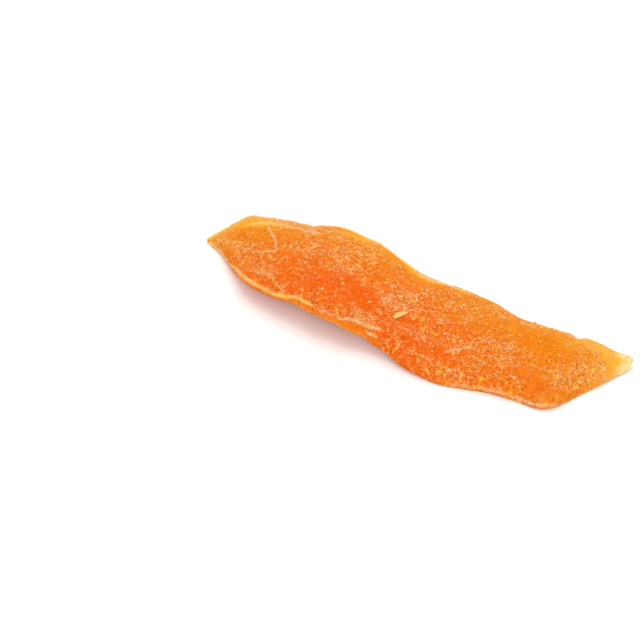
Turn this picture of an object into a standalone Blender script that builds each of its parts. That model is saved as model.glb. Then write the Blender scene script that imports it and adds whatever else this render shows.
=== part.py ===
"""A dried mango slice, sugared, lying on a table.

One leathery leaf of fruit flesh: narrow at its left tip, broad and swept back at its
right tip. It is thick through the middle, cut square along part of the near edge and
thin along the far one. It arches off the table between the left tip and the broad end.
"""

import math
import random

import bmesh
import bpy
from mathutils import Euler, Matrix, Vector, noise
from mathutils.bvhtree import BVHTree

MM = 0.001

# The two long edges seen from above, walked from the left tip to the right one:
# near x, near y, far x, far y in millimetres.
EDGE_STATIONS = (
    (3.4, -4.0, 2.2, -2.4),
    (6.6, -4.7, 4.0, 1.6),
    (10.9, -6.8, 6.6, 8.0),
    (16.4, -10.6, 10.4, 12.9),
    (24.9, -15.8, 18.7, 14.9),
    (33.4, -18.0, 27.7, 15.2),
    (42.8, -18.5, 36.2, 16.6),
    (52.2, -19.4, 46.0, 15.3),
    (61.2, -19.1, 56.0, 13.3),
    (69.9, -18.8, 67.0, 11.5),
    (78.9, -20.5, 76.0, 13.8),
    (88.4, -20.3, 86.0, 15.0),
    (98.5, -16.9, 95.0, 13.5),
    (107.0, -15.5, 103.0, 14.1),
    (115.2, -14.3, 109.9, 15.3),
    (120.2, -5.5, 116.1, 15.0),
    (123.8, 1.6, 121.4, 13.9),
    (126.6, 7.8, 125.5, 12.6),
    (127.8, 10.5, 127.9, 11.9),
)
# Small bites out of the edges: side (-1 near, 1 far), x, half width and depth.
NICKS = (
    (1, 28.6, 1.3, 0.9),
    (1, 111.2, 1.6, 1.3),
    (-1, 64.6, 2.2, 0.8),
    (-1, 44.6, 0.7, 0.7),
)

# The arch of the underside, from x = 0 to ARCH_END, and how far it is pressed on the table.
ARCH_HEIGHT = 5.2
ARCH_END = 97.0
RESTING_SINK = 0.35
# The right tip lifts off the table from x = start on, over a length, more at its far edge.
TIP_LIFT = 1.8
TIP_LIFT_START = 104.0
TIP_LIFT_LENGTH = 24.0
TIP_LIFT_NEAR_SHARE = 0.2
# The near edge droops and the far edge turns up, each over a stretch: height, x, half length.
NEAR_DROOP = (1.0, 76.0, 17.0)
FAR_LIP = (1.4, 47.0, 18.0)
# The broad end is cupped: it rests on its edges and is hollow below.
CUP_HEIGHT = 1.7
CUP_START = 80.0
CUP_RAMP = 15.0
# Waves of the underside: height, length along, length across, seed.
UNDERSIDE_WAVES = ((0.8, 19.0, 10.0, 0.0), (0.4, 7.5, 4.5, 9.0))

# Thickness of the flesh.
CORE_THICKNESS = 4.6
TIP_THICKNESS = 1.3
CUT_EDGE_THICKNESS = 3.5
ROLLED_EDGE_THICKNESS = 2.2
THIN_EDGE_THICKNESS = 1.0
MOST_THICKNESS = 6.0
# Stretches of the near edge in x, with the ramp at their ends: cut square, rolled under.
CUT_EDGE_SPAN = (25.0, 63.0, 10.0)
ROLLED_EDGE_SPAN = (69.0, 116.0, 8.0)
# Where each tip's taper starts, at its thin end in x, and how long it is.
LEFT_TAPER = (-2.0, 20.0)
RIGHT_TAPER = (131.0, 26.0)
# How far in the edges' own thickness reaches, and the swelling of the flesh along and across.
NEAR_BEVEL = 1.5
FAR_BEVEL = 4.2
SWELL = (0.22, 13.0, 8.0, 3.0)
# Rounding of a soft rim and of the square cut one: radius, least share of the thickness.
SOFT_RIM = (1.3, 0.42)
CUT_RIM = (0.5, 0.75)

GRID_COLUMNS = 66
GRID_ROWS = 18
# The block that cuts the underside flat where it is pressed on the table, in metres.
TABLE_SIZE = (0.2, 0.1, 0.05)

# Sugar lumps large enough to see from a step away.
LUMP_COUNT_TOP = 90
LUMP_COUNT_UNDER = 22
LUMP_SIZES = (0.4, 0.62)
LUMP_SPACING = 3.0
LUMP_EDGE_MARGIN = 1.6
LUMP_REACH = (0.06, 0.97)
LUMP_SINK = 0.3
LUMP_CLEARANCE = 1.5
LUMP_SEED = 11

# The pale shred of pulp stuck to the middle of the top.
SHRED_PLACE = (70.3, -9.3)
SHRED_SIZE = (2.1, 0.7, 0.5)
SHRED_TURN = math.radians(68)

FLESH_COLOUR = (0.90, 0.24, 0.04, 1.0)
FLESH_ROUGHNESS = 0.5
SMOOTH_ANGLE = math.radians(35)


def clear_scene():
    for obj in list(bpy.data.objects):
        bpy.data.objects.remove(obj, do_unlink=True)


def clamp(value):
    return min(max(value, 0.0), 1.0)


def smooth_step(value):
    value = clamp(value)
    return value * value * (3.0 - 2.0 * value)


def bell(value, centre, width):
    return math.exp(-(((value - centre) / width) ** 2))


def between(value, start, end, ramp):
    """1 from start to end, with smooth ramps outside them."""
    return smooth_step((value - start + ramp) / ramp) * smooth_step((end + ramp - value) / ramp)


def station_value(column, s):
    """One column of EDGE_STATIONS on a smooth curve, at s from 0 (left tip) to 1 (right)."""
    last = len(EDGE_STATIONS) - 1
    place = clamp(s) * last
    i = min(int(place), last - 1)
    f = place - i
    rows = (min(max(k, 0), last) for k in (i - 1, i, i + 1, i + 2))
    a, b, c, d = (EDGE_STATIONS[row][column] for row in rows)
    return b + 0.5 * f * (c - a + f * (2 * a - 5 * b + 4 * c - d + f * (3 * (b - c) + d - a)))


def edge_points(s):
    """The near and the far edge at s, in plan."""
    near = Vector((station_value(0, s), station_value(1, s)))
    far = Vector((station_value(2, s), station_value(3, s)))
    across = (far - near).normalized()
    for side, x, half_width, depth in NICKS:
        edge = far if side > 0 else near
        edge -= across * (side * depth * bell(edge.x, x, half_width))
    return near, far


def mix(start, end, share):
    return start + (end - start) * share


def wave(place, x, y):
    """Smooth noise of a height, with a length along and across, and a seed."""
    height, along, across, seed = place
    return height * noise.noise(Vector((x / along, y / across, seed)))


def core_thickness(x):
    """Thickness along the middle of the slice."""
    ends = smooth_step((x - LEFT_TAPER[0]) / LEFT_TAPER[1])
    ends *= smooth_step((RIGHT_TAPER[0] - x) / RIGHT_TAPER[1])
    return mix(TIP_THICKNESS, CORE_THICKNESS, ends)


def near_edge_thickness(x):
    """The near edge is cut square on the left half and rolled under on the right."""
    rolled = mix(THIN_EDGE_THICKNESS, ROLLED_EDGE_THICKNESS, between(x, *ROLLED_EDGE_SPAN))
    return mix(rolled, CUT_EDGE_THICKNESS, between(x, *CUT_EDGE_SPAN))


def rim_roundness(from_edge, squareness):
    """Share of the thickness left near an edge, so that its rim is rounded."""
    radius, least = (mix(soft, cut, squareness) for soft, cut in zip(SOFT_RIM, CUT_RIM))
    inward = 1.0 - clamp(from_edge / radius)
    return least + (1.0 - least) * math.sqrt(1.0 - inward * inward)


def thickness(x, y, from_near, from_far):
    """Thickness of the flesh at a place in plan, with its distances from the two edges."""
    at_near = math.exp(-((from_near / NEAR_BEVEL) ** 2))
    at_far = math.exp(-((from_far / FAR_BEVEL) ** 1.6)) * (1.0 - at_near)
    thick = core_thickness(x)
    thick = mix(thick, min(near_edge_thickness(x), thick), at_near)
    thick = mix(thick, THIN_EDGE_THICKNESS, at_far) * (1.0 + wave(SWELL, x, y))
    near_rim = rim_roundness(from_near, between(x, *CUT_EDGE_SPAN))
    return thick * near_rim * rim_roundness(from_far, 0.0)


def underside_height(x, y, t):
    """Height of the underside over the table; t runs from -1 at the near edge to 1 at the far."""
    height = ARCH_HEIGHT * math.sin(math.pi * clamp(x / ARCH_END)) ** 2
    lift = TIP_LIFT * clamp((x - TIP_LIFT_START) / TIP_LIFT_LENGTH) ** 2
    height += lift * mix(TIP_LIFT_NEAR_SHARE, 1.0, (t + 1.0) / 2.0)
    height -= NEAR_DROOP[0] * bell(x, *NEAR_DROOP[1:]) * max(-t, 0.0) ** 2
    height += FAR_LIP[0] * bell(x, *FAR_LIP[1:]) * max(t, 0.0) ** 4
    height += CUP_HEIGHT * smooth_step((x - CUP_START) / CUP_RAMP) * (1.0 - t * t)
    height += sum(wave(place, x, y) for place in UNDERSIDE_WAVES)
    return height - RESTING_SINK


def sheet_point(s, t):
    """The middle of the flesh at s along and t across, in millimetres, and its thickness."""
    near, far = edge_points(s)
    width = (far - near).length
    spot = near.lerp(far, (t + 1.0) / 2.0)
    from_near = width * (1.0 + t) / 2.0
    thick = thickness(spot.x, spot.y, from_near, width - from_near)
    middle = underside_height(spot.x, spot.y, t) + thick / 2.0
    return Vector((spot.x, spot.y, middle)), thick


def new_collection(name):
    collection = bpy.data.collections.new(name)
    bpy.context.scene.collection.children.link(collection)
    return collection


def move_to(obj, collection):
    for old in list(obj.users_collection):
        old.objects.unlink(obj)
    collection.objects.link(obj)


def apply_modifiers(obj):
    """Replaces the object's mesh by what its modifiers make of it."""
    graph = bpy.context.evaluated_depsgraph_get()
    mesh = bpy.data.meshes.new_from_object(obj.evaluated_get(graph))
    obj.modifiers.clear()
    obj.data = mesh


def make_flesh(collection):
    """The leaf of flesh: a grid bent to its middle surface and given its thickness."""
    bpy.ops.mesh.primitive_grid_add(x_subdivisions=GRID_COLUMNS, y_subdivisions=GRID_ROWS, size=2)
    flesh = bpy.context.object
    flesh.name = "mango_slice"
    move_to(flesh, collection)
    group = flesh.vertex_groups.new(name="thickness")
    for vertex in flesh.data.vertices:
        s = (vertex.co.x + 1.0) / 2.0
        t = math.sin(math.pi / 2.0 * vertex.co.y)
        point, thick = sheet_point(s, t)
        vertex.co = point * MM
        group.add([vertex.index], thick / MOST_THICKNESS, "REPLACE")
    solidify = flesh.modifiers.new("flesh_thickness", "SOLIDIFY")
    solidify.thickness = MOST_THICKNESS * MM
    solidify.offset = 0.0
    solidify.vertex_group = group.name
    return flesh


def flatten_rest(flesh, cutters):
    """Cuts off what lies below the table, which leaves flat patches to rest on."""
    middle = (EDGE_STATIONS[-1][0] * MM / 2.0, 0.0, -TABLE_SIZE[2] / 2.0)
    bpy.ops.mesh.primitive_cube_add(size=1, location=middle)
    table = bpy.context.object
    table.name = "table_cutter"
    table.scale = TABLE_SIZE
    table.hide_render = True
    table.display_type = "WIRE"
    move_to(table, cutters)
    cut = flesh.modifiers.new("rest_on_table", "BOOLEAN")
    cut.operation = "DIFFERENCE"
    cut.solver = "EXACT"
    cut.object = table
    bpy.context.view_layer.update()
    apply_modifiers(flesh)


def surface_of(flesh):
    shape = bmesh.new()
    shape.from_mesh(flesh.data)
    tree = BVHTree.FromBMesh(shape)
    shape.free()
    return tree


def lump_spots(draw, count):
    """Places in plan for sugar lumps, in millimetres, kept apart and clear of the edges."""
    spots = []
    while len(spots) < count:
        near, far = edge_points(draw.uniform(*LUMP_REACH))
        margin = LUMP_EDGE_MARGIN / (far - near).length
        spot = near.lerp(far, draw.uniform(margin, 1.0 - margin))
        if all((spot - other).length > LUMP_SPACING for other in spots):
            spots.append(spot)
    return spots


def add_lump(tree, spot, size, turn, upper, lumps):
    """A faceted lump of the given half sizes, sunk into the top or the underside."""
    side = 1.0 if upper else -1.0
    start = Vector((spot.x * MM, spot.y * MM, side * TABLE_SIZE[2]))
    hit, normal, _, _ = tree.ray_cast(start, Vector((0.0, 0.0, -side)))
    if hit.z < LUMP_CLEARANCE * MM and not upper:
        return
    bpy.ops.mesh.primitive_ico_sphere_add(subdivisions=1, radius=1.0)
    lump = bpy.context.object
    lump.name = "sugar_lump"
    upright = normal.to_track_quat("Z", "Y").to_matrix().to_4x4()
    stretch = Matrix.Diagonal((*[half * MM for half in size], 1.0))
    place = Matrix.Translation(hit + normal * (LUMP_SINK * size[2] * MM))
    lump.data.transform(place @ upright @ turn.to_matrix().to_4x4() @ stretch)
    move_to(lump, lumps)


def fuse_toppings(flesh):
    """Joins the sugar lumps and the shred of pulp to the flesh they lie on."""
    draw = random.Random(LUMP_SEED)
    lumps = new_collection("toppings")
    tree = surface_of(flesh)
    for upper, count in ((True, LUMP_COUNT_TOP), (False, LUMP_COUNT_UNDER)):
        for spot in lump_spots(draw, count):
            size = [draw.uniform(*LUMP_SIZES) for _ in range(3)]
            turn = Euler([draw.uniform(0.0, math.tau) for _ in range(3)])
            add_lump(tree, spot, size, turn, upper, lumps)
    add_lump(tree, Vector(SHRED_PLACE), SHRED_SIZE, Euler((0.0, 0.0, SHRED_TURN)), True, lumps)
    join = flesh.modifiers.new("toppings", "BOOLEAN")
    join.operation = "UNION"
    join.solver = "MANIFOLD"
    join.operand_type = "COLLECTION"
    join.collection = lumps
    bpy.context.view_layer.update()
    apply_modifiers(flesh)
    for lump in list(lumps.objects):
        bpy.data.objects.remove(lump, do_unlink=True)
    bpy.data.collections.remove(lumps)


def centre_on_origin(flesh):
    """Moves the mesh so that the middle of its footprint is the origin, on the table."""
    xs, ys, _ = zip(*(vertex.co for vertex in flesh.data.vertices))
    middle = Vector(((min(xs) + max(xs)) / 2.0, (min(ys) + max(ys)) / 2.0, 0.0))
    flesh.data.transform(Matrix.Translation(-middle))


def flesh_material():
    material = bpy.data.materials.new("dried_mango")
    material.use_nodes = True
    shader = material.node_tree.nodes["Principled BSDF"]
    shader.inputs["Base Color"].default_value = FLESH_COLOUR
    shader.inputs["Roughness"].default_value = FLESH_ROUGHNESS
    shader.inputs["Metallic"].default_value = 0.0
    return material


def main():
    clear_scene()
    slice_parts = new_collection("dried_mango_slice")
    cutters = new_collection("cutters")
    flesh = make_flesh(slice_parts)
    flatten_rest(flesh, cutters)
    fuse_toppings(flesh)
    centre_on_origin(flesh)
    flesh.data.materials.clear()
    flesh.data.materials.append(flesh_material())
    flesh.data.shade_smooth()
    flesh.data.set_sharp_from_angle(angle=SMOOTH_ANGLE)


main()
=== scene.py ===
"""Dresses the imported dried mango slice: its flesh, its sugar and the stage it lies on.

The flesh is rebuilt finely from the same named sizes as the solid, in the same place, and
carries masks for its colours. The sugar is scattered over it as real little crystals.
Lengths in the constants and in the form's own functions are millimetres, unless a comment
says otherwise. A wave is smooth noise: its height, length along, length across and seed.
"""

import math
import random

import bmesh
import bpy
import numpy as np
from bpy.props import FloatProperty, FloatVectorProperty, IntProperty, PointerProperty
from mathutils import Euler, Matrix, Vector, noise
from mathutils.bvhtree import BVHTree


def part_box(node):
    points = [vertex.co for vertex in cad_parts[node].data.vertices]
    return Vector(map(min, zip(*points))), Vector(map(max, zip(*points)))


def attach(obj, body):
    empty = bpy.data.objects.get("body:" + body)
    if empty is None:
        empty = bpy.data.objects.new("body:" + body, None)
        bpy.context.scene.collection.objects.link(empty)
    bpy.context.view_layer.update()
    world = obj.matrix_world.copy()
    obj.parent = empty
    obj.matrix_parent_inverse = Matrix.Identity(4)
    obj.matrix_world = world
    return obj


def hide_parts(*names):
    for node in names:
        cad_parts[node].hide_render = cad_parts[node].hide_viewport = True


bl_info = {
    "name": "Dried mango slice",
    "version": (1, 0, 0),
    "blender": (4, 5, 0),
    "location": "View3D > Sidebar > Mango",
    "description": "Builds a sugared dried mango slice around its packed solid",
    "category": "Add Mesh",
}

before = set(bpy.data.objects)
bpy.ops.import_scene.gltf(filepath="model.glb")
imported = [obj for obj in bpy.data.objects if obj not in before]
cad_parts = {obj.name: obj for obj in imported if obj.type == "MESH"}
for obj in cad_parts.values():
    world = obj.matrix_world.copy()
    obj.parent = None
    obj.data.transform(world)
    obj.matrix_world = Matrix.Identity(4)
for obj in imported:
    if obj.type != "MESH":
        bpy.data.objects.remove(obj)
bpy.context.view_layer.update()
NODE = "mango_slice"
BODY = "root"
MM = 0.001

# The two long edges seen from above, walked from the left tip to the right one:
# near x, near y, far x, far y, as in the solid.
EDGE_STATIONS = np.array([
    (3.4, -4.0, 2.2, -2.4),
    (6.6, -4.7, 4.0, 1.6),
    (10.9, -6.8, 6.6, 8.0),
    (16.4, -10.6, 10.4, 12.9),
    (24.9, -15.8, 18.7, 14.9),
    (33.4, -18.0, 27.7, 15.2),
    (42.8, -18.5, 36.2, 16.6),
    (52.2, -19.4, 46.0, 15.3),
    (61.2, -19.1, 56.0, 13.3),
    (69.9, -18.8, 67.0, 11.5),
    (78.9, -20.5, 76.0, 13.8),
    (88.4, -20.3, 86.0, 15.0),
    (98.5, -16.9, 95.0, 13.5),
    (107.0, -15.5, 103.0, 14.1),
    (115.2, -14.3, 109.9, 15.3),
    (120.2, -5.5, 116.1, 15.0),
    (123.8, 1.6, 121.4, 13.9),
    (126.6, 7.8, 125.5, 12.6),
    (127.8, 10.5, 127.9, 11.9),
])
# Small bites out of the edges, and one small bulge: side (-1 near, 1 far), x, half width and
# depth.
NICKS = (
    (1, 28.6, 1.3, 0.9),
    (1, 111.2, 1.6, 1.3),
    (-1, 64.6, 2.2, 0.8),
    (-1, 44.6, 0.7, 0.7),
    (1, 7.4, 3.0, -1.0),
)
# The underside: its arch, the lift of the right tip, the curl of the edges, the cup under the
# broad end and two waves.
ARCH_HEIGHT = 5.2
ARCH_END = 97.0
RESTING_SINK = 0.35
TIP_LIFT = 1.8
TIP_LIFT_START = 104.0
TIP_LIFT_LENGTH = 24.0
TIP_LIFT_NEAR_SHARE = 0.2
NEAR_DROOP = (1.0, 76.0, 17.0)
FAR_LIP = (1.4, 47.0, 18.0)
CUP_HEIGHT = 1.7
CUP_START = 80.0
CUP_RAMP = 15.0
UNDERSIDE_WAVES = ((0.8, 19.0, 10.0, 0.0), (0.4, 7.5, 4.5, 9.0))
# Where the edges have a thickness of their own, how the flesh thins towards the tips and the
# edges, its wave in thickness, and how the rims and the tips are rounded.
CUT_EDGE_SPAN = (25.0, 63.0, 10.0)
ROLLED_EDGE_SPAN = (69.0, 116.0, 8.0)
LEFT_TAPER = (-2.0, 20.0)
RIGHT_TAPER = (131.0, 26.0)
NEAR_BEVEL = 1.5
FAR_BEVEL = 4.2
SWELL = (0.22, 13.0, 8.0, 3.0)
SOFT_RIM = (1.3, 0.42)
CUT_RIM = (0.5, 0.75)
TIP_ROUNDING = 0.9

# The sugar lumps of the solid: their counts above and below, half sizes, where they lie and
# their seed. Here they are rounded, with a scale, unevenness, shades and roughness of their own.
LUMP_COUNTS = ((True, 90), (False, 22))
LUMP_SIZES = (0.4, 0.62)
LUMP_SPACING = 3.0
LUMP_EDGE_MARGIN = 1.6
LUMP_REACH = (0.06, 0.97)
LUMP_SINK = 0.3
LUMP_CLEARANCE = 1.5
LUMP_SEED = 11
LUMP_SCALE = 0.62
LUMP_UNEVENNESS = 0.16
LUMP_SHADES = (0.1, 0.6)
LUMP_ROUGHNESS = 0.3

# Marks on the flesh, from here on in the part's frame: x, y, half length, half width,
# turn in degrees and strength.
BLOOM_PATCHES = (
    (-52.0, -3.0, 6.5, 2.8, 0, 0.8),
    (-40.8, -3.2, 3.4, 1.2, 30, 0.8),
    (-34.5, -11.2, 5.0, 2.6, -15, 0.6),
    (-43.0, -8.2, 3.0, 1.4, 0, 0.5),
    (-26.0, 3.4, 12.0, 3.0, 8, 0.4),
    (-17.0, 1.0, 5.0, 4.0, 60, 0.5),
    (-19.0, 9.5, 13.0, 3.6, -4, 0.5),
    (18.0, 7.0, 9.0, 4.0, -5, 0.45),
    (3.0, -1.2, 3.0, 2.6, 0, 0.5),
    (35.5, -6.0, 3.0, 4.0, 10, 0.6),
    (33.0, -13.5, 4.5, 2.2, 0, 0.6),
    (-43.0, 13.0, 11.0, 3.4, 4, 1.0),
    (57.5, 3.0, 4.0, 7.0, -25, 0.7),
    (-13.8, 13.5, 1.8, 3.4, 0, 0.9),
    (2.0, -3.4, 6.5, 4.5, 50, 0.6),
    (-3.5, -14.2, 6.0, 1.4, 5, 0.9),
    (13.1, -2.4, 4.0, 2.5, 0, 0.6),
    (12.4, -9.8, 6.0, 2.2, 10, 0.6),
    (23.3, -8.8, 3.6, 1.0, 45, 0.9),
    (28.0, -4.0, 9.0, 4.0, 20, 0.5),
    (22.0, -17.2, 13.0, 1.8, -2, 0.6),
    (51.0, -2.5, 4.5, 3.2, 60, 0.8),
    (52.5, 4.0, 2.5, 3.5, 0, 0.6),
    (34.6, 8.6, 4.0, 1.2, -8, 0.8),
    (-57.0, -2.4, 4.5, 1.8, -15, 0.9),
)
PINK_PATCHES = (
    (2.2, -3.4, 5.0, 3.2, 50, 0.8),
    (-3.2, -14.2, 4.0, 1.4, 0, 0.8),
    (-35.0, -11.2, 4.5, 2.2, -15, 0.7),
    (-40.8, -3.2, 2.6, 0.9, 30, 0.8),
    (-43.0, -8.2, 3.0, 1.1, 0, 0.7),
    (-26.0, 3.6, 11.0, 2.2, 8, 0.3),
    (-43.0, 13.8, 10.5, 2.4, 2, 0.9),
    (57.5, 1.0, 2.5, 5.0, -25, 0.5),
    (12.4, -9.8, 5.0, 1.6, 10, 0.7),
    (34.6, 8.4, 3.6, 1.0, -8, 0.9),
    (24.0, -17.0, 11.0, 1.6, -2, 0.5),
    (50.5, -2.5, 3.0, 2.0, 60, 0.5),
)
DEEP_PATCHES = (
    (-15.5, -9.0, 8.0, 4.5, 10, 0.8),
    (-9.5, -5.5, 5.0, 4.5, 0, 0.6),
    (10.0, -13.5, 7.0, 3.5, -20, 0.8),
    (47.0, -10.5, 5.0, 2.5, 0, 0.7),
    (54.0, -4.0, 2.5, 3.0, 60, 0.6),
    (34.0, -11.5, 5.0, 3.0, 0, 0.4),
    (21.0, -13.0, 8.0, 3.5, -5, 0.6),
    (0.0, 2.5, 4.0, 3.0, 0, 0.3),
)
SPARSE_PATCHES = (
    (41.5, 5.0, 8.0, 5.0, 10, 0.75),
    (62.0, 11.5, 2.5, 3.0, 0, 1.0),
    (-57.0, 3.5, 4.5, 4.0, 0, 0.15),
    (-54.0, 8.5, 5.0, 2.8, 40, 0.85),
    (30.0, 3.0, 14.0, 6.0, 5, 0.3),
    (-47.0, 4.5, 10.0, 5.5, 0, 0.45),
    (-6.0, -8.0, 6.0, 4.0, 0, 0.4),
    (-22.0, -9.5, 12.0, 5.5, 0, 0.35),
    (15.0, -13.0, 10.0, 3.2, -5, 0.3),
    (43.5, -7.0, 3.0, 6.0, 0, 0.45),
    (-51.0, -8.0, 5.0, 4.5, -20, 0.2),
    (1.0, 10.0, 5.5, 4.0, 0, 0.65),
    (24.0, -2.0, 4.0, 4.0, 0, 0.25),
)
# How thin and clear the flesh looks, from 0 (thick and red) to 1 (pale): its run along the
# slice as x and value, what the far part and the near rim add, its own patches and its wave.
# The paler colour of thin flesh is partly its own and partly painted light passing through it.
CLEAR_ALONG = (
    (-63.0, 0.66), (-56.0, 0.48), (-50.0, 0.36), (-42.0, 0.26), (-32.0, 0.14), (-22.0, 0.11),
    (-12.0, 0.08), (-2.0, 0.07), (8.0, 0.02), (18.0, 0.12), (28.0, 0.26), (39.0, 0.33),
    (47.0, 0.41), (53.5, 0.48), (57.0, 0.62), (59.0, 0.74), (61.0, 0.86), (63.0, 0.96),
)
CLEAR_FAR = (0.43, 0.22, 0.70)
CLEAR_FAR_FADE = 0.7
CLEAR_NEAR = (0.06, 2.0)
CLEAR_PATCHES = (
    (-57.5, 5.0, 3.0, 5.0, -30, 0.10),
    (-50.0, 9.0, 6.0, 4.0, 20, 0.12),
    (54.5, 11.8, 5.0, 3.2, -5, 0.05),
    (44.0, 9.0, 6.0, 3.0, 0, -0.06),
    (-20.0, 14.0, 9.0, 2.5, 0, 0.10),
)
CLEAR_WAVE = (0.05, 8.0, 5.0, 63.0)
# Lines of frost on the top: their points and half width, the strength of their frost, and the
# strength and the share of the width of their crust.
TIP_THREAD = ((-47.0, 8.3), (-44.6, 5.8), (-42.0, 3.9), (-38.9, 0.0))
BLOOM_LINES = (
    (TIP_THREAD, 0.45),
    (((20.9, -11.1), (25.6, -6.7)), 0.5),
    (((-42.7, -4.4), (-38.7, -1.7)), 0.5),
)
LINE_FROST = 0.9
LINE_CRUST = (0.6, 0.7)
# The usual strength of the frost and its broad wave, the same for its fine clumps, what a patch
# adds, and the share that the amber band and the cut face lose.
FROST_LEVEL = 0.36
LOOSE_FROST = (0.36, 5.0, 3.4, 21.0)
CLUMP_LEVEL = 0.85
FROST_CLUMPS = (0.9, 1.7, 1.3, 77.0)
PATCH_FROST = 0.6
BAND_LOSS = 0.92
CUT_LOSS = 0.8
# The amber band along the far edge: its stretch and ramp in x, where it starts to fade over the
# surface, and the frosty bridge across it, with its strength, x and half length.
BAND_SPAN = (-27.0, 6.0, 5.0)
BAND_FADE = 4.2
BAND_BRIDGE = (0.85, -14.2, 2.4)
# How softly the lines along the edges end, in x.
RIM_RAMP = 1.2
# Sugar crusts on the rims: side (-1 near, 1 far), half width and strength, and their run as
# x and the distance from the edge over the surface.
RIM_CRUSTS = (
    (-1, 0.45, 1.0, ((-62.5, 0.5), (-57.0, 0.6), (-51.0, 0.8))),
    (-1, 0.5, 0.6, ((-62.5, 0.5), (-57.0, 0.6), (-50.0, 1.0), (-46.1, 1.7), (-42.0, 1.4),
                   (-36.0, 1.8))),
    (-1, 0.3, 0.45, ((-37.0, 1.7), (-33.0, 1.6), (-28.0, 1.2), (-24.4, 1.3), (-22.0, 2.1),
                     (-16.6, 2.3))),
    (-1, 0.35, 0.5, ((-14.0, 1.9), (-11.0, 2.0), (-8.0, 2.0))),
    (-1, 0.42, 1.0, ((-7.6, 2.0), (-6.7, 2.5), (-5.6, 3.1), (-4.1, 3.5), (-2.5, 3.4),
                    (-1.1, 3.1), (0.1, 3.3), (1.5, 4.3), (2.7, 4.8))),
    (-1, 0.35, 0.9, ((0.4, 1.9), (2.8, 2.7))),
    (-1, 0.5, 0.6, ((26.0, 1.0), (40.0, 1.2), (52.0, 1.0))),
    (1, 1.5, 0.75, ((-59.0, 1.2), (-56.0, 1.3), (-51.0, 1.2), (-44.4, 1.4), (-37.4, 1.4),
                    (-34.0, 1.6))),
    (1, 0.8, 0.5, ((-50.0, 9.0), (-46.5, 9.1), (-44.5, 8.3), (-41.0, 8.0), (-37.8, 7.9),
                   (-34.0, 8.9), (-31.0, 9.8))),
    (1, 0.7, 1.15, ((-1.0, 1.6), (1.8, 1.9), (4.5, 2.2), (6.7, 2.8), (8.3, 3.3), (9.9, 3.4),
                   (11.5, 2.2), (15.0, 1.3))),
)
# Smooth yellow light in the thin rims and the left tip, given in the same way.
RIM_GLOWS = (
    (-1, 0.55, 0.65, ((-62.8, 0.3), (-60.0, 0.6), (-50.0, 1.0), (-46.1, 1.7),
                     (-42.0, 1.4), (-36.0, 1.8))),
    (-1, 0.42, 0.95, ((-40.0, 1.6), (-33.0, 1.6), (-28.0, 1.2), (-24.4, 1.3), (-22.0, 2.1),
                      (-16.6, 2.3))),
    (1, 1.7, 0.9, ((-62.5, 0.4), (-57.0, 0.6), (-51.5, 0.5))),
    (1, 0.8, 0.7, ((-53.0, 9.4), (-46.5, 9.1), (-44.5, 8.3), (-41.0, 8.0))),
    (1, 1.0, 0.85, ((-31.0, 0.8), (-22.0, 0.6), (-9.0, 0.6), (0.0, 0.5), (12.0, 0.6))),
    (1, 0.5, 0.9, ((12.0, 0.5), (30.0, 0.3), (44.0, 0.4))),
    (1, 0.8, 0.8, ((50.0, 0.6), (62.0, 0.8))),
    (1, 1.8, 0.9, ((-1.0, 1.4), (4.5, 1.8), (8.3, 2.6), (9.9, 2.8), (15.0, 1.2))),
    (-1, 0.9, 0.25, ((-22.0, 0.2), (0.0, 0.2))),
)
# How far from the edges the scattered sugar keeps, over the surface, and how high above the
# table the underside has to be to carry any.
EDGE_CLEARANCE = 1.6
TABLE_CLEARANCE = 0.5
# The clear cut face below the rim on the near side: its run as for the crusts, how softly it
# borders on the rim, and its ramp in x.
CUT_FACE = ((-40.0, 0.2), (-30.0, 0.9), (-24.0, 1.0), (-21.0, 1.7), (-8.0, 1.7), (-4.5, 2.9),
            (-1.0, 2.6), (3.0, 1.2))
CUT_BORDER = 0.25
CUT_RAMP = 2.0
# Raised threads of fibre in the surface: their points, half width and height.
FIBRES = (
    (TIP_THREAD, 0.20, 0.20),
    (((6.2, -5.2), (7.0, -3.4), (8.4, -2.4), (9.8, -2.6)), 0.16, 0.12),
    (((-30.0, -4.0), (-22.0, -2.2), (-14.0, -3.0), (-6.0, -1.8)), 0.30, 0.10),
    (((16.0, 3.0), (26.0, 2.4), (36.0, 4.0), (45.0, 7.5)), 0.35, 0.10),
)
# The short crack across the near rim, its half width and depth, and the ring beside it, whose
# grains vary a little in size, shape and tilt.
# Painted shade darkens the flesh along the crack as well.
CRACK = ((-19.1, -13.2), (-17.9, -15.3), (-16.6, -16.6), (-15.4, -18.2))
CRACK_SIZE = (0.22, 0.35)
RING_PLACE = (-15.0, -17.1)
RING_RADIUS = 0.62
RING_GRAINS = 14
RING_GRAIN_SIZE = 0.13
RING_STRETCH = (0.8, 1.2)
RING_UNEVENNESS = 0.15
RING_TILT = 0.1
RING_SHADE = 0.6
# The shred of pulp: its line in plan, its half width there, its height, the share of it that
# the middle is hollowed by, and how far it sinks in.
SHRED_LINE = ((3.9, -9.3), (4.3, -8.6), (4.8, -7.4), (5.3, -6.4), (5.8, -5.6), (6.1, -4.6))
SHRED_WIDTHS = (0.40, 0.74, 0.80, 0.62, 0.30, 0.08)
SHRED_HEIGHT = 0.5
SHRED_HOLLOW = 0.45
SHRED_SINK = 0.1
SHRED_SIDES = 12

# The relief: length along, length across and seed of the wrinkles and the grain, whose heights
# are settings, and the usual share of a crust's height with the wave that varies it.
WRINKLES = (3.2, 1.9, 31.0)
FINE_GRAIN = (1.1, 0.8, 47.0)
CRUST_LEVEL = 0.65
CRUST_LUMPS = (0.9, 1.2, 1.2, 5.0)

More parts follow.
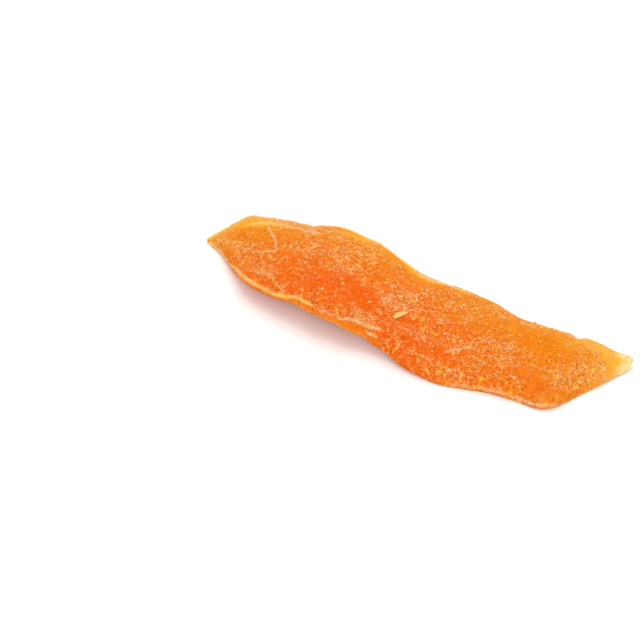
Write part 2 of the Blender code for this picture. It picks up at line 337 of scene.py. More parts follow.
# The scattered sugar: its share on the underside, the slope that counts as the top, and how
# small it is in a crust. A fleck has a bend in radians, the widths of its five sections, and
# the half breadth and half height of its middle.
UNDERSIDE_SHARE = 0.3
TOP_SLOPE = 0.2
CRUST_GRAIN_SHARE = 0.9
FLECK_BEND = 0.45
FLECK_WIDTHS = (0.5, 1.0, 1.15, 0.95, 0.45)
FLECK_SECTION = (0.42, 0.34)
# How the grains vary: the spread of their sizes, their least and most stretch, how far they
# sink in or stand out, their tilt, the unevenness of their corners, and where clear flesh
# starts to lighten them and how soon.
GRAIN_SPREAD = 0.32
GRAIN_STRETCH = ((0.7, 0.7, 0.4), (1.4, 1.4, 0.7))
GRAIN_SINK = (-0.3, 0.2)
GRAIN_TILT = 0.12
GRAIN_UNEVENNESS = 0.18
GRAIN_LIGHTENING = (0.3, 0.8)
GRAIN_ROUGHNESS = 0.35
# Seeds of the draws for each kind of sugar.
SEEDS = {"sugar_lumps": 3, "sugar_flecks": 5, "sugar_grains": 6, "sugar_dust": 7, "rim_crust": 8,
         "sugar_ring": 12}

# The grid of the flesh: its columns, its rows on the top, the rows of each edge wall, the row
# spacing at the edges, how much it grows inward and how soon, and half the slice's usual width.
RING_COLUMNS = 420
SHEET_ROWS = 139
WALL_ROWS = 9
ROW_SPACING = (0.05, 0.30, 0.8)
HALF_WIDTH = 17.5
# How far a rounded and a square edge wall bulge, as shares of half the thickness, and how full
# their curves are.
WALL_BULGE = (0.55, 0.14)
WALL_FULLNESS = (1.0, 0.35)

# How softly the underside flattens where it meets the floor, and the gap to the floor.
FLOOR_SOFTNESS = 0.03
FLOOR_GAP = 0.02
# How far above and below the table the rays start that find a place on the flesh, in metres.
RAY_START = 0.05

# The camera: it stands at the photograph's viewing angle.
CAMERA_TARGET = (-14.0, -17.0, 4.0)
CAMERA_DISTANCE = 403.5
CAMERA_AZIMUTH = math.radians(31.75)
CAMERA_ELEVATION = math.radians(41.4)
CAMERA_LENS = 85.0
CAMERA_SENSOR = 36.0
# The places of the key, fill and back lights and their size, in metres.
LIGHT_PLACES = {
    "overhead": (-0.15, 0.25, 0.9),
    "front": (0.35, -0.75, 0.5),
    "rear": (-0.2, 0.8, 0.45),
}
LIGHT_SIZE = 0.9


def clamp(value):
    return np.clip(value, 0.0, 1.0)


def smooth_step(value):
    value = clamp(value)
    return value * value * (3.0 - 2.0 * value)


def bell(value, centre, width):
    return np.exp(-(((value - centre) / width) ** 2))


def between(value, start, end, ramp):
    """1 from start to end, with smooth ramps outside them."""
    return smooth_step((value - start + ramp) / ramp) * smooth_step((end + ramp - value) / ramp)


def mix(start, end, share):
    """A number, an array or a node's value between two others."""
    return start + (end - start) * share


def unit(vectors):
    return vectors / np.linalg.norm(vectors, axis=-1, keepdims=True)


def wave(form, x, y, z=0.0):
    """Smooth noise at every point, from its height, length along, length across and seed."""
    height, along, across, seed = form
    z = z + np.zeros_like(x)
    points = np.stack([x / along, y / across, z / across + seed], axis=-1).reshape(-1, 3)
    values = [noise.noise(point) for point in points.tolist()]
    return height * np.array(values).reshape(np.shape(x))


def edge_points(s):
    """The near and the far edge at every s, in plan, as two arrays of points."""
    last = len(EDGE_STATIONS) - 1
    place = clamp(s) * last
    i = np.minimum(place.astype(int), last - 1)
    f = (place - i)[:, None]
    a, b, c, d = (EDGE_STATIONS[np.clip(i + k, 0, last)] for k in (-1, 0, 1, 2))
    points = b + 0.5 * f * (c - a + f * (2 * a - 5 * b + 4 * c - d + f * (3 * (b - c) + d - a)))
    near, far = points[:, :2].copy(), points[:, 2:].copy()
    across = unit(far - near)
    for side, x, half_width, depth in NICKS:
        edge = far if side > 0 else near
        edge -= across * (side * depth * bell(edge[:, :1], x, half_width))
    return near, far


def core_thickness(x, sizes):
    """Thickness along the middle of the slice."""
    ends = smooth_step((x - LEFT_TAPER[0]) / LEFT_TAPER[1])
    ends = ends * smooth_step((RIGHT_TAPER[0] - x) / RIGHT_TAPER[1])
    return mix(sizes.tip / MM, sizes.core / MM, ends)


def near_edge_thickness(x, sizes):
    """The near edge is cut square on the left half and rolled under on the right."""
    rolled = mix(sizes.thin_edge / MM, sizes.rolled_edge / MM, between(x, *ROLLED_EDGE_SPAN))
    return mix(rolled, sizes.cut_edge / MM, between(x, *CUT_EDGE_SPAN))


def rim_roundness(from_edge, squareness):
    """Share of the thickness left near an edge, so that its rim is rounded."""
    radius, least = (mix(soft, cut, squareness) for soft, cut in zip(SOFT_RIM, CUT_RIM))
    inward = 1.0 - clamp(from_edge / radius)
    return least + (1.0 - least) * np.sqrt(1.0 - inward * inward)


def thickness(x, y, from_near, from_far, sizes):
    at_near = np.exp(-((from_near / NEAR_BEVEL) ** 2))
    at_far = np.exp(-((from_far / FAR_BEVEL) ** 1.6)) * (1.0 - at_near)
    thick = core_thickness(x, sizes)
    thick = mix(thick, np.minimum(near_edge_thickness(x, sizes), thick), at_near)
    thick = mix(thick, sizes.thin_edge / MM, at_far) * (1.0 + wave(SWELL, x, y))
    near_rim = rim_roundness(from_near, between(x, *CUT_EDGE_SPAN))
    return thick * near_rim * rim_roundness(from_far, 0.0)


def underside_height(x, y, t):
    """Height of the underside over the table; t runs from -1 at the near edge to 1 at the far."""
    height = ARCH_HEIGHT * np.sin(math.pi * clamp(x / ARCH_END)) ** 2
    lift = TIP_LIFT * clamp((x - TIP_LIFT_START) / TIP_LIFT_LENGTH) ** 2
    height += lift * mix(TIP_LIFT_NEAR_SHARE, 1.0, (t + 1.0) / 2.0)
    height -= NEAR_DROOP[0] * bell(x, *NEAR_DROOP[1:]) * np.maximum(-t, 0.0) ** 2
    height += FAR_LIP[0] * bell(x, *FAR_LIP[1:]) * np.maximum(t, 0.0) ** 4
    height += CUP_HEIGHT * smooth_step((x - CUP_START) / CUP_RAMP) * (1.0 - t * t)
    for form in UNDERSIDE_WAVES:
        height += wave(form, x, y)
    return height - RESTING_SINK


class Sheet:
    """The middle surface of the flesh on a grid of columns s and rows t, with its thickness."""

    def __init__(self, s, t, sizes):
        near, far = edge_points(s)
        width = np.linalg.norm(far - near, axis=1)[:, None]
        share = (t[None, :, None] + 1.0) / 2.0
        spot = near[:, None] + (far - near)[:, None] * share
        self.x, self.y = spot[..., 0], spot[..., 1]
        self.from_near = width * share[..., 0]
        self.from_far = width - self.from_near
        self.outward = (far - near) / width
        thick = thickness(self.x, self.y, self.from_near, self.from_far, sizes)
        t_grid = np.broadcast_to(t[None, :], self.x.shape)
        height = underside_height(self.x, self.y, t_grid) + thick / 2.0
        self.points = np.dstack([spot, height])
        along = np.gradient(self.points, axis=0)
        across = np.gradient(self.points, axis=1)
        self.normals = unit(np.cross(along, across))
        self.thick = thick


def row_places():
    """The rows t across the slice, from -1 to 1, closest together at the two edges."""
    edge_step, growth, reach = ROW_SPACING
    away = np.linspace(0.0, HALF_WIDTH, 400)
    walked = np.cumsum(1.0 / (edge_step + growth * away / (away + reach)))
    count = SHEET_ROWS // 2 + 1
    half = np.interp(np.linspace(walked[0], walked[-1], count), walked, away) / HALF_WIDTH - 1.0
    return np.concatenate([half, -half[-2::-1]])


def tip_rounding(sheet):
    """Share of the thickness left near the two tips, 0 at their very ends."""
    steps = np.linalg.norm(np.diff(sheet.points, axis=0), axis=2)
    walked = np.vstack([np.zeros(steps.shape[1]), np.cumsum(steps, axis=0)])
    from_tip = np.minimum(walked, walked[-1] - walked)
    inward = 1.0 - clamp(from_tip / TIP_ROUNDING)
    return np.sqrt(1.0 - inward * inward)


def wall_rows(sheet, half, row, side, squareness):
    """The rounded or square wall at one edge, from the top surface round to the underside."""
    turn = np.linspace(math.pi / 2.0, -math.pi / 2.0, WALL_ROWS + 2)[1:-1]
    edge = sheet.points[:, row]
    normal = sheet.normals[:, row]
    out = np.hstack([sheet.outward * side, np.zeros((len(edge), 1))])
    bulge = (half * mix(*WALL_BULGE, squareness))[:, None, None]
    power = mix(*WALL_FULLNESS, squareness)[:, None]
    rise = np.sin(turn)[None, :, None] * half[:, None, None] * normal[:, None]
    reach = (np.cos(turn)[None, :] ** power)[..., None] * bulge * out[:, None]
    return edge[:, None] + rise + reach


class Rings:
    """Closed rings of points round the slice: the top, the far wall, the underside, the near
    wall. Each point also knows how far over the surface it is from the two edges."""

    def __init__(self, sizes):
        sheet = Sheet(np.linspace(0.0, 1.0, RING_COLUMNS), row_places(), sizes)
        rounding = tip_rounding(sheet)
        half = sheet.thick * rounding / 2.0
        lift = sheet.normals * half[..., None]
        top = sheet.points + lift
        under = (sheet.points - lift)[:, ::-2]
        squareness = between(sheet.x[:, 0], *CUT_EDGE_SPAN)
        far_wall = wall_rows(sheet, half[:, -1], -1, 1.0, np.zeros(RING_COLUMNS))
        near_wall = wall_rows(sheet, half[:, 0], 0, -1.0, squareness)[:, ::-1]
        self.points = np.concatenate([top, far_wall, under, near_wall], axis=1)
        steps = np.linalg.norm(np.diff(top, axis=1), axis=2)
        walked = np.hstack([np.zeros((RING_COLUMNS, 1)), np.cumsum(steps, axis=1)])
        self.from_near = self.spread(walked)
        self.from_far = self.spread(walked[:, -1:] - walked)
        self.rounding = self.spread(rounding)
        under_start = SHEET_ROWS + WALL_ROWS
        self.is_under = np.zeros(self.points.shape[1])
        self.is_under[under_start : -WALL_ROWS] = 1.0

    def spread(self, values):
        """A value of the sheet's grid, repeated round the ring in its order."""
        wall = np.ones((1, WALL_ROWS))
        parts = [values, values[:, -1:] * wall, values[:, ::-2], values[:, :1] * wall]
        return np.concatenate(parts, axis=1)


def patch_mask(x, y, patches):
    """Soft elliptical patches laid over each other, from 0 to 1."""
    rest = np.ones_like(x)
    for middle_x, middle_y, length, width, turn, strength in patches:
        cos, sin = math.cos(math.radians(turn)), math.sin(math.radians(turn))
        along = ((x - middle_x) * cos + (y - middle_y) * sin) / length
        across = ((y - middle_y) * cos - (x - middle_x) * sin) / width
        rest *= 1.0 - strength * np.exp(-((along**2 + across**2) ** 1.5))
    return 1.0 - rest


def line_distance(x, y, line):
    """Distance of every point from a line of points in plan."""
    least = np.full_like(x, 1e3)
    for (ax, ay), (bx, by) in zip(line, line[1:]):
        span = (bx - ax) ** 2 + (by - ay) ** 2
        share = clamp(((x - ax) * (bx - ax) + (y - ay) * (by - ay)) / span)
        away = np.hypot(x - ax - share * (bx - ax), y - ay - share * (by - ay))
        least = np.minimum(least, away)
    return least


def band_mask(x, from_far):
    """The smooth amber band along the far edge, with the frosty bridge left out."""
    strength, middle, half_length = BAND_BRIDGE
    stretch = between(x, *BAND_SPAN) * (1.0 - strength * bell(x, middle, half_length))
    return stretch * (1.0 - smooth_step((from_far - BAND_FADE) / BAND_FADE))


def rim_mask(x, rings, lines):
    """Soft lines that run along the edges."""
    mask = np.zeros_like(x)
    for side, half_width, strength, run in lines:
        starts, places = zip(*run)
        away = rings.from_far if side > 0 else rings.from_near
        line = strength * bell(away, np.interp(x, starts, places), half_width)
        mask = np.maximum(mask, line * between(x, starts[0], starts[-1], RIM_RAMP))
    return mask


def clear_mask(rings, x, y):
    """How thin and clear the flesh looks: partly its own colour, partly painted light through it.
    """
    starts, values = zip(*CLEAR_ALONG)
    across = rings.from_near / (rings.from_near + rings.from_far)
    clear = np.interp(x, starts, values)
    amount, start, reach = CLEAR_FAR
    clear = clear + amount * smooth_step((across - start) / reach) * (1.0 - CLEAR_FAR_FADE * clear)
    amount, reach = CLEAR_NEAR
    clear = clear + amount * bell(rings.from_near, 0.0, reach)
    for patch in CLEAR_PATCHES:
        clear = clear + patch[-1] * patch_mask(x, y, ((*patch[:-1], 1.0),))
    return clamp(clear + wave(CLEAR_WAVE, x, y))


def flesh_masks(rings, x, y):
    """The named masks that the flesh's colours and the sugar read, each from 0 to 1."""
    upper = 1.0 - rings.is_under[None, :]
    starts, places = zip(*CUT_FACE)
    depth = np.interp(x, starts, places)
    border = (rings.from_near - depth + CUT_BORDER) / (2.0 * CUT_BORDER)
    cut = (1.0 - smooth_step(border)) * upper * between(x, starts[0], starts[-1], CUT_RAMP)
    band = band_mask(x, rings.from_far)
    crust = rim_mask(x, rings, RIM_CRUSTS) * upper
    sparse = patch_mask(x, y, SPARSE_PATCHES) * upper
    patches = PATCH_FROST * patch_mask(x, y, BLOOM_PATCHES) * upper
    bloom = FROST_LEVEL + wave(LOOSE_FROST, x, y) + patches
    for line, half_width in BLOOM_LINES:
        away = line_distance(x, y, line)
        strength, share = LINE_CRUST
        bloom += LINE_FROST * bell(away, 0.0, half_width) * upper
        crust = np.maximum(crust, strength * bell(away, 0.0, share * half_width) * upper)
    bloom = bloom * (1.0 - sparse) * (1.0 - BAND_LOSS * band) * (1.0 - CUT_LOSS * cut)
    bloom = bloom * (CLUMP_LEVEL + wave(FROST_CLUMPS, x, y))
    inside = smooth_step(np.minimum(rings.from_near, rings.from_far) / EDGE_CLEARANCE)
    return {
        "bloom": clamp(bloom),
        "inside": inside,
        "clear": clear_mask(rings, x, y),
        "band": band,
        "glow": rim_mask(x, rings, RIM_GLOWS),
        "pink": patch_mask(x, y, PINK_PATCHES) * upper * (1.0 - cut),
        "deep": patch_mask(x, y, DEEP_PATCHES),
        "crust": crust,
        "cut": cut,
        "crack": bell(line_distance(x, y, CRACK), 0.0, CRACK_SIZE[0]) * upper,
    }


def flesh_relief(rings, x, y, z, masks, relief):
    """How far each point stands proud of the plain form, in millimetres."""
    height = wave((relief.wrinkle / MM, *WRINKLES), x, y, z)
    height += wave((relief.grain / MM, *FINE_GRAIN), x, y, z)
    lumpy = CRUST_LEVEL + wave(CRUST_LUMPS, x, y, z)
    height += relief.rim / MM * masks["crust"] * lumpy
    height -= relief.band / MM * band_mask(x, rings.from_far)
    for line, half_width, rise in FIBRES:
        height += rise * bell(line_distance(x, y, line), 0.0, half_width)
    height -= CRACK_SIZE[1] * masks["crack"]
    return height * rings.rounding


def mesh_from(name, points, faces):
    mesh = bpy.data.meshes.new(name)
    mesh.from_pydata(points, [], faces)
    mesh.update()
    return mesh


def add_object(name, mesh):
    piece = bpy.data.objects.new(name, mesh)
    bpy.context.scene.collection.objects.link(piece)
    return piece


def add_piece(name, mesh, material):
    """Adds a piece with its material and body, and hides the plain solid that it stands for."""
    piece = add_object(name, mesh)
    piece.data.materials.append(material)
    piece.data.shade_smooth()
    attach(piece, BODY)
    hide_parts(NODE)
    return piece


def ring_quads(rings, sides):
    """Quads that join closed rings of points, each ring to the next."""
    index = np.arange(rings * sides).reshape(rings, sides)
    beside = np.roll(index, -1, axis=1)
    return np.stack([index[:-1], index[1:], beside[1:], beside[:-1]], axis=-1).reshape(-1, 4)


def write_masks(mesh, masks):
    for name, values in masks.items():
        layer = mesh.attributes.new(name, "FLOAT", "POINT")
        layer.data.foreach_set("value", np.ascontiguousarray(values, np.float32).ravel())


def read_vectors(items, name, count):
    values = np.empty(count * 3, np.float32)
    items.foreach_get(name, values)
    return values.reshape(-1, 3)


def weld(mesh, distance):
    """Joins the points that meet, closes the slits that are left and turns faces outward."""
    shape = bmesh.new()
    shape.from_mesh(mesh)
    bmesh.ops.remove_doubles(shape, verts=shape.verts, dist=distance)
    slits = [edge for edge in shape.edges if edge.is_boundary]
    bmesh.ops.holes_fill(shape, edges=slits, sides=4)
    bmesh.ops.recalc_face_normals(shape, faces=shape.faces)
    if shape.calc_volume(signed=True) < 0.0:
        bmesh.ops.reverse_faces(shape, faces=shape.faces)
    shape.to_mesh(mesh)
    shape.free()
    mesh.update()


def plan_shift(points):
    """What brings the form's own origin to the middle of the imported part's footprint."""
    low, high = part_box(NODE)
    middle = (np.array(low[:2]) + np.array(high[:2])) / 2.0 / MM
    return middle - (points[..., :2].min(axis=(0, 1)) + points[..., :2].max(axis=(0, 1))) / 2.0


def build_flesh(sizes, relief):
    """The flesh as one closed mesh with its masks, in metres."""
    rings = Rings(sizes)
    rings.points[..., :2] += plan_shift(rings.points)
    quads = ring_quads(*rings.points.shape[:2])
    flat = rings.points.reshape(-1, 3)
    mesh = mesh_from("mango_flesh", flat.tolist(), quads.tolist())
    normals = read_vectors(mesh.vertex_normals, "vector", len(flat))
    x, y, z = (rings.points[..., k] for k in range(3))
    masks = flesh_masks(rings, x, y)
    rise = flesh_relief(rings, x, y, z, masks, relief).reshape(-1, 1)
    inside = np.sign(np.mean(np.einsum("ij,ij->i", normals, flat - flat.mean(axis=0))))
    flat = flat + normals * inside * rise
    flat[:, 2] = FLOOR_SOFTNESS * np.log1p(np.exp(flat[:, 2] / FLOOR_SOFTNESS))
    mesh.vertices.foreach_set("co", (flat * MM).astype(np.float32).ravel())
    write_masks(mesh, masks)
    weld(mesh, 1e-6)
    return mesh


class Value:
    """A node's output that can be used in expressions, which add the Math nodes."""

    def __init__(self, surface, socket):
        self.surface = surface
        self.socket = socket

    def math(self, operation, first, second, limit=False):
        settings = {"operation": operation, "use_clamp": limit}
        return self.surface.node("ShaderNodeMath", settings, {0: first, 1: second})

    def __add__(self, other):
        return self.math("ADD", self, other)

    def __radd__(self, other):
        return self.math("ADD", other, self)

    def __sub__(self, other):
        return self.math("SUBTRACT", self, other)

    def __rsub__(self, other):
        return self.math("SUBTRACT", other, self)

    def __mul__(self, other):
        return self.math("MULTIPLY", self, other)

    def __rmul__(self, other):
        return self.math("MULTIPLY", other, self)

    def distance(self, value):
        return self.math("ABSOLUTE", self - value, 0.0)

    def limited(self):
        return self.math("ADD", self, 0.0, limit=True)

    def ramp(self, start, end):
        """0 below start and 1 above end, smoothly."""
        settings = {"interpolation_type": "SMOOTHSTEP"}
        return self.surface.node("ShaderNodeMapRange", settings, {0: self, 1: start, 2: end})


def colour(values):
    """Red, green and blue with full alpha, or a node's colour as it is."""
    return values if isinstance(values, Value) else (*values, 1.0)


class Surface:
    """A material's nodes, added by one method."""

    def __init__(self, name):
        self.material = bpy.data.materials.new(name)
        self.material.use_nodes = True
        self.nodes = self.material.node_tree.nodes
        self.links = self.material.node_tree.links
        self.nodes.clear()
        self.place = self.node("ShaderNodeTexCoord", output="Object")

    def node(self, kind, settings=None, sockets=None, output=0):
        """Adds a node: its settings or stops first, then the values or links of its sockets."""
        made = self.nodes.new(kind)
        for name, setting in (settings or {}).items():
            if name == "stops":
                self.set_stops(made.color_ramp, setting)
            else:
                setattr(made, name, setting)
        for name, value in (sockets or {}).items():
            if isinstance(value, Value):
                self.links.new(value.socket, made.inputs[name])
            else:
                made.inputs[name].default_value = value
        return Value(self, made.outputs[output]) if made.outputs else None

    def set_stops(self, ramp, stops):
        """Sets the places and colours of a ramp, which starts with two stops."""
        for _ in stops[2:]:
            ramp.elements.new(1.0)
        for element, (place, values) in zip(ramp.elements, stops):
            element.position = place
            element.color = colour(values)

    def mask(self, name):
        return self.node("ShaderNodeAttribute", {"attribute_name": name}, output="Fac")

    def noise(self, scale, detail=2.0, roughness=0.5, distortion=0.0, offset=0.0):
        """Noise with features of about 1 / scale metres, from 0 to 1."""
        shifted = self.node(
            "ShaderNodeVectorMath", {"operation": "ADD"}, {0: self.place, 1: (offset,) * 3}
        )
        sockets = {
            "Vector": shifted,
            "Scale": scale,
            "Detail": detail,
            "Roughness": roughness,
            "Distortion": distortion,
        }
        return self.node("ShaderNodeTexNoise", {}, sockets)

    def blend(self, share, first, second):
        """A colour between two colours."""
        first, second = (colour(each) for each in (first, second))
        sockets = {0: share, 6: first, 7: second}
        return self.node("ShaderNodeMix", {"data_type": "RGBA"}, sockets, output=2)

    def ramp_colour(self, share, stops):
        """A colour ramp through (place, colour) stops."""
        return self.node("ShaderNodeValToRGB", {"stops": stops}, {"Fac": share}, output="Color")

    def bump(self, height, distance):
        sockets = {"Strength": 1.0, "Distance": distance, "Height": height}
        return self.node("ShaderNodeBump", {}, sockets)

    def principled(self, sockets):
        """Ends the tree with a Principled BSDF and gives back the material."""
        shader = self.node("ShaderNodeBsdfPrincipled", {}, sockets)
        self.node("ShaderNodeOutputMaterial", {}, {"Surface": shader})
        return self.material


def translucent(weight, radius, scale):
    """The sockets that let light through the surface; scale is in metres."""
    return {"Subsurface Weight": weight, "Subsurface Radius": radius, "Subsurface Scale": scale}


def warm_tone(surface):
    """Where the sugar has soaked up yellow juice, from 0 to 1."""
    return surface.noise(420.0, detail=3.0, roughness=0.7, offset=3.1).ramp(0.44, 0.58)


def flesh_material(look):
    """Orange flesh, amber and yellow where it is thin, with frosty specks and pink bloom."""
    surface = Surface("dried_mango_flesh")
    broad = surface.noise(160.0, detail=3.0)
    mottle = surface.noise(650.0, detail=4.0, roughness=0.6, offset=0.3)
    worm = surface.noise(1000.0, detail=1.0, roughness=0.5, distortion=0.6, offset=0.7)
    gap = surface.noise(800.0, detail=1.0, offset=2.3)
    speck = surface.noise(2600.0, detail=1.5, offset=1.1)
    shade_speck_noise = surface.noise(1300.0, detail=2.0, distortion=0.5, offset=1.9)
    bloom, crust, cut = surface.mask("bloom"), surface.mask("crust"), surface.mask("cut")

    # Red where thick to pale where thin: partly the flesh's colour, partly painted light through
    # it.
    clear = surface.mask("clear") + (broad - 0.5) * 0.28 + (mottle - 0.5) * 0.30
    clear = clear - surface.mask("deep") * 0.12 + surface.mask("band") * 0.14
    stops = ((0.0, look.deep), (0.25, look.body), (0.6, look.amber), (0.85, look.yellow))
    base = surface.ramp_colour(clear, (*stops, (1.0, look.pale)))
    base = surface.blend(cut, base, look.cut)
    base = surface.blend(surface.mask("glow"), base, look.glow)
    haze = (surface.mask("pink") * 0.8 + bloom * 0.25) * mix(0.1, 1.0, mottle.ramp(0.42, 0.58))
    base = surface.blend(haze.limited(), base, look.pink)
    # Painted shade: dark specks round the sugar flecks, more where the frost is thick.
    painted_shade = shade_speck_noise.ramp(0.52, 0.59) * mix(0.35, 0.85, bloom) * (1.0 - clear.ramp(0.45, 0.95))
    # Painted shade along the crack.
    painted_shade = (painted_shade + surface.mask("crack") * 0.8).limited()
    base = surface.blend(painted_shade, base, look.shade)
    line = (1.0 - worm.distance(0.5).ramp(0.035, 0.09)) * gap.ramp(0.47, 0.56)
    frost = (line * bloom.ramp(0.05, 0.6) + speck.ramp(0.6, 0.7) * bloom * 0.5).limited()
    icing = surface.blend(warm_tone(surface), look.frost, look.honey)
    base = surface.blend(frost * 0.92, base, icing)
    broken = mix(0.15, 1.0, speck.ramp(0.42, 0.56)) * mix(0.35, 1.1, mottle.ramp(0.42, 0.56))
    crusty = crust * broken
    base = surface.blend(crusty.limited(), base, look.crust)

    height = line * 0.35 + speck * 0.3 + mottle * 0.6 - painted_shade * 0.4
    sockets = {
        "Base Color": base,
        "Roughness": mix(0.45, 0.62, (frost + crusty).limited()),
        "IOR": 1.4,
        "Specular IOR Level": 0.02,
        **translucent(0.3, (1.0, 0.42, 0.14), 0.0015),
        "Normal": surface.bump(height, 0.0003),
    }
    return surface.principled(sockets)


def sugar_material(name, look, roughness):
    """Sugar crystals, from peach to nearly white, each with its own shade."""
    surface = Surface(name)
    stops = ((0.0, look.grain_dark), (0.85, look.grain_light), (1.0, look.grain_white))
    base = surface.ramp_colour(surface.mask("shade"), stops)
    base = surface.blend(warm_tone(surface) * 0.7, base, look.honey)
    cloud = surface.noise(2500.0, detail=2.0)
    base = surface.blend(cloud.ramp(0.4, 0.7) * 0.3, base, look.frost)
    sockets = {
        "Base Color": base,
        "Roughness": mix(roughness, roughness + 0.2, cloud),
        "IOR": 1.5,
        "Specular IOR Level": 0.12,
        **translucent(0.4, (1.0, 0.5, 0.3), 0.001),
    }
    return surface.principled(sockets)


def shred_material(look):
    """Pale yellow pulp with fine lengthwise fibres."""
    surface = Surface("pulp_shred")
    strand = surface.noise(2600.0, detail=3.0)
    base = surface.blend(strand.ramp(0.3, 0.6), look.yellow, look.shred)
    sockets = {
        "Base Color": base,
        "Roughness": mix(0.45, 0.6, strand),
        **translucent(0.3, (1.0, 0.6, 0.25), 0.001),
        "Normal": surface.bump(strand, 0.0002),
    }
    return surface.principled(sockets)


def floor_material(stage):
    surface = Surface("pale_floor")
    cloud = surface.noise(6.0)
    # The floor colour's pink paints a glow from the flesh into the floor's shadows.
    base = surface.blend(cloud * 0.04, stage.floor_colour, (1.0, 1.0, 1.0))
    return surface.principled({"Base Color": base, "Roughness": 0.7, "Specular IOR Level": 0.2})


class Flesh:
    """The finished flesh, read for the places of what lies on it."""

    def __init__(self):
        self.mesh = bpy.data.objects["mango_flesh"].data
        self.mesh.calc_loop_triangles()
        count = len(self.mesh.vertices)
        self.points = read_vectors(self.mesh.vertices, "co", count).astype(float)
        self.normals = read_vectors(self.mesh.vertex_normals, "vector", count).astype(float)
        corners = np.empty(len(self.mesh.loop_triangles) * 3, np.int32)
        self.mesh.loop_triangles.foreach_get("vertices", corners)
        self.triangles = corners.reshape(-1, 3)

    def mask(self, name):
        values = np.empty(len(self.points), np.float32)
        self.mesh.attributes[name].data.foreach_get("value", values)
        return values.astype(float)

    def areas(self):
        a, b, c = (self.points[self.triangles[:, k]] for k in range(3))
        return np.linalg.norm(np.cross(b - a, c - a), axis=1) / 2.0

    def scatter(self, draw, count, weight):
        """Random places on the flesh, denser where weight (one value a point) is larger: their
        spots, normals and how clear the flesh is there."""
        share = weight[self.triangles].mean(axis=1) * self.areas()
        chosen = draw.choice(len(self.triangles), count, p=share / share.sum())
        u, v = draw.random((2, count))
        over = u + v > 1.0
        u[over], v[over] = 1.0 - u[over], 1.0 - v[over]
        corners = self.triangles[chosen]
        weights = np.stack([1.0 - u - v, u, v], axis=1)[..., None]
        spots = (self.points[corners] * weights).sum(axis=1)
        normals = (self.normals[corners] * weights).sum(axis=1)
        clear = (self.mask("clear")[corners] * weights[..., 0]).sum(axis=1)
        return spots, unit(normals), clear

    def tree(self):
        shape = bmesh.new()
        shape.from_mesh(self.mesh)
        made = BVHTree.FromBMesh(shape)
        shape.free()
        return made


def base_shape(make, **sizes):
    """Points and triangles of a small closed shape made by one of bmesh's makers."""
    shape = bmesh.new()
    make(shape, **sizes)
    bmesh.ops.triangulate(shape, faces=shape.faces)
    points = np.array([vertex.co for vertex in shape.verts])
    faces = np.array([[vertex.index for vertex in face.verts] for face in shape.faces])
    shape.free()
    return points, faces


def turned_frames(draw, normals, tilt):
    """A frame of axes for each normal, spun at random about it and tilted a little."""
    up = unit(normals + draw.normal(0.0, tilt, normals.shape))
    side = unit(np.cross(up, draw.normal(0.0, 1.0, normals.shape)))
    return np.stack([side, np.cross(up, side), up], axis=2)


def join_copies(name, points, faces, spots, frames, sizes, shades):
    """One mesh of many copies of a shape, each with its place, frame, size and shade.

    points is one shape for all copies, or one for each of them.
    """
    copies = len(spots)
    shaped = np.broadcast_to(points, (copies, *points.shape[-2:])) * sizes[:, None, :]
    placed = np.einsum("nij,nkj->nki", frames, shaped) + spots[:, None, :]
    count = points.shape[-2]
    linked = faces[None] + (np.arange(copies) * count)[:, None, None]
    mesh = mesh_from(name, placed.reshape(-1, 3).tolist(), linked.reshape(-1, 3).tolist())
    write_masks(mesh, {"shade": np.repeat(shades, count)})
    return mesh


def uneven(draw, points, copies, amount):
    """Copies of a shape with each point moved in or out a little."""
    push = 1.0 + draw.uniform(-amount, amount, (copies, len(points), 1))
    return points[None] * push


def fleck_shape(bend):
    """A short curved crystal, pointed at both ends, lying on its side."""
    half_breadth, half_height = FLECK_SECTION
    points = []
    for angle, width in zip(np.linspace(-bend, bend, len(FLECK_WIDTHS)), FLECK_WIDTHS):
        middle = np.array((math.sin(angle) / math.sin(bend), math.cos(angle) - 1.0, 0.0))
        out = np.array((math.sin(angle), math.cos(angle), 0.0))
        for k in range(4):
            turn = math.tau * (k + 0.5) / 4.0
            across = out * (half_breadth * width * math.cos(turn))
            rise = np.array((0.0, 0.0, half_height * width * math.sin(turn)))
            points.append(middle + across + rise)
    faces = []
    for ring in range(4):
        for k in range(4):
            a, b = ring * 4 + k, ring * 4 + (k + 1) % 4
            faces += [(a, b, b + 4), (a, b + 4, a + 4)]
    faces += [(0, 2, 1), (0, 3, 2), (16, 17, 18), (16, 18, 19)]
    return np.array(points), np.array(faces)


def lump_spots(draw, count):
    """The solid's own places for sugar lumps, in plan, from the same seeded draws."""
    spots = []
    while len(spots) < count:
        near, far = (edge[0] for edge in edge_points(np.array([draw.uniform(*LUMP_REACH)])))
        margin = LUMP_EDGE_MARGIN / np.linalg.norm(far - near)
        spot = near + (far - near) * draw.uniform(margin, 1.0 - margin)
        if all(np.linalg.norm(spot - other) > LUMP_SPACING for other in spots):
            spots.append(spot)
    return spots


def lump_places(tree, shift):
    """Where each lump sits: its spot, normal, half sizes and turn."""
    draw = random.Random(LUMP_SEED)
    places = []
    for upper, count in LUMP_COUNTS:
        side = 1.0 if upper else -1.0
        for spot in lump_spots(draw, count):
            size = [draw.uniform(*LUMP_SIZES) for _ in range(3)]
            turn = Euler([draw.uniform(0.0, math.tau) for _ in range(3)])
            start = Vector((*((spot + shift) * MM), side * RAY_START))
            hit, normal, _, _ = tree.ray_cast(start, Vector((0.0, 0.0, -side)))
            if hit is None or (hit.z < LUMP_CLEARANCE * MM and not upper):
                continue
            places.append((hit, normal, size, turn))
    return places


